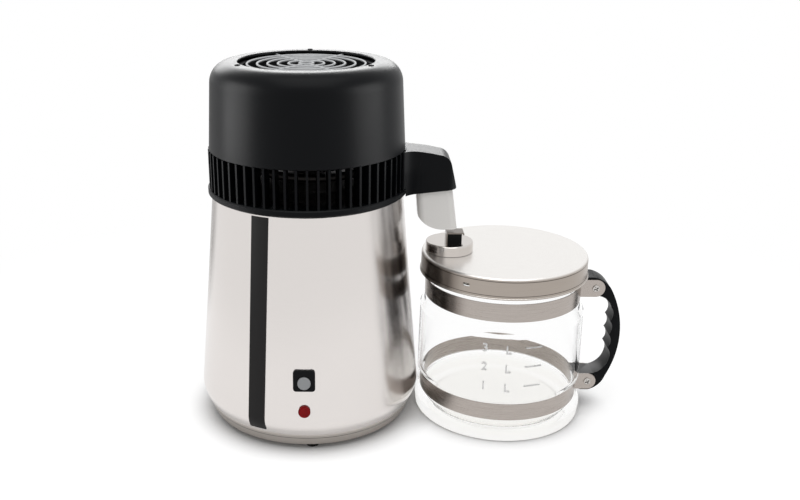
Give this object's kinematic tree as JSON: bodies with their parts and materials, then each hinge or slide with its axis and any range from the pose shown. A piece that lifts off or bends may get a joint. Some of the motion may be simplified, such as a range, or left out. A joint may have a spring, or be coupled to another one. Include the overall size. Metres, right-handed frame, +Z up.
{
  "type": "countertop water distiller",
  "caption": "Countertop water distiller: steel boiler with lift-off fan head, spout arm and slatted vent collar, beside a glass jug with steel lid, filler cap and bow handle.",
  "frame": {"origin": "centre of the footprint of boiler and jug, on the table", "axes": "+Z up, +X from the boiler to the jug, -Y towards the user, where the controls are"},
  "size_m": [0.4417, 0.2315, 0.3704],
  "materials": {
    "polished_steel": "mirror-like satin steel sheet",
    "brushed_band": "fine circular brushing",
    "black_moulding": "fine-grained satin moulding",
    "black_gloss": "smooth moulding",
    "pan_enamel": "satin warm grey paint",
    "rubber_black": "matt rubber",
    "silicone": "translucent white silicone",
    "zinc_fastener": "bright zinc plate",
    "aluminium_plate": "plain sheet",
    "element_steel": "heat-darkened sheath",
    "nozzle_grey": "satin light grey moulding",
    "button_grey": "satin grey moulding",
    "lamp_red": "clear dark red lens",
    "glass": "clear pressed glass",
    "bronze": "oiled sintered bronze",
    "copper_winding": "varnished winding",
    "fan_plastic": "dark moulding"
  },
  "bodies": {
    "boiler": {"base_pan": "pan_enamel", "rubber_feet": "rubber_black", "foot_screws": "zinc_fastener", "post_screws": "zinc_fastener", "tank_posts": "zinc_fastener", "heat_shield": "aluminium_plate", "outer_shell": "polished_steel", "trim_strip": "black_gloss", "boiling_tank": "polished_steel", "element_plate": "aluminium_plate", "heating_element": "element_steel", "element_clamp": "zinc_fastener", "element_stud": "zinc_fastener", "element_nut": "zinc_fastener", "thermal_cutout": "fan_plastic", "reset_bezel": "black_gloss", "indicator_lamp": "lamp_red", "lamp_nut": "black_moulding", "power_inlet": "black_moulding", "inlet_pins": "zinc_fastener", "fan_outlet": "black_moulding"},
    "button": {"reset_button": "button_grey"},
    "head": {"vent_collar": "black_moulding", "fan_inlet": "black_moulding", "head_cover": "black_moulding", "head_bolts": "zinc_fastener", "hood_nuts": "zinc_fastener", "fan_guard": "black_gloss", "fan_frame": "fan_plastic", "fan_motor": "copper_winding", "fan_bush": "bronze", "vapour_hood": "polished_steel", "hood_gasket": "silicone", "condenser_coil": "polished_steel", "outlet_grommet": "rubber_black", "spout_arm": "black_moulding", "nozzle": "nozzle_grey"},
    "fan": {"fan_rotor": "fan_plastic", "fan_shaft": "zinc_fastener"},
    "jug": {"glass_jug": "glass", "upper_band": "brushed_band", "lower_band": "brushed_band", "jug_handle": "black_moulding", "handle_screws": "zinc_fastener", "handle_nuts": "zinc_fastener"},
    "lid": {"lid_shell": "brushed_band", "lid_seal": "silicone"},
    "cap": {"cap_disc": "polished_steel", "cap_plug": "silicone", "knob_strap": "polished_steel", "knob_insert": "black_gloss", "knob_screw": "zinc_fastener"}
  },
  "joints": [
    {"name": "head_lift", "type": "slide", "parent": "boiler", "child": "head", "axis": [0, 0, 1], "range_m": [0, 0.12]},
    {"name": "fan_spin", "type": "hinge", "parent": "head", "child": "fan", "pos_m": [-0.10585, 0, 0.34], "axis": [0, 0, 1], "continuous": true},
    {"name": "reset_press", "type": "slide", "parent": "boiler", "child": "button", "axis": [0, 0.9957, -0.0927], "range_m": [0, 0.0025], "stiffness_N_per_m": 600},
    {"name": "jug_slide", "type": "slide", "parent": "boiler", "child": "jug", "axis": [1, 0, 0], "range_m": [0, 0.15]},
    {"name": "lid_turn", "type": "hinge", "parent": "jug", "child": "lid", "pos_m": [0.09615, 0, 0.17], "axis": [0, 0, 1], "range_deg": [-180, 180]},
    {"name": "cap_turn", "type": "hinge", "parent": "lid", "child": "cap", "pos_m": [0.03915, 0, 0.18], "axis": [0, 0, 1], "range_deg": [-180, 180]}
  ]
}
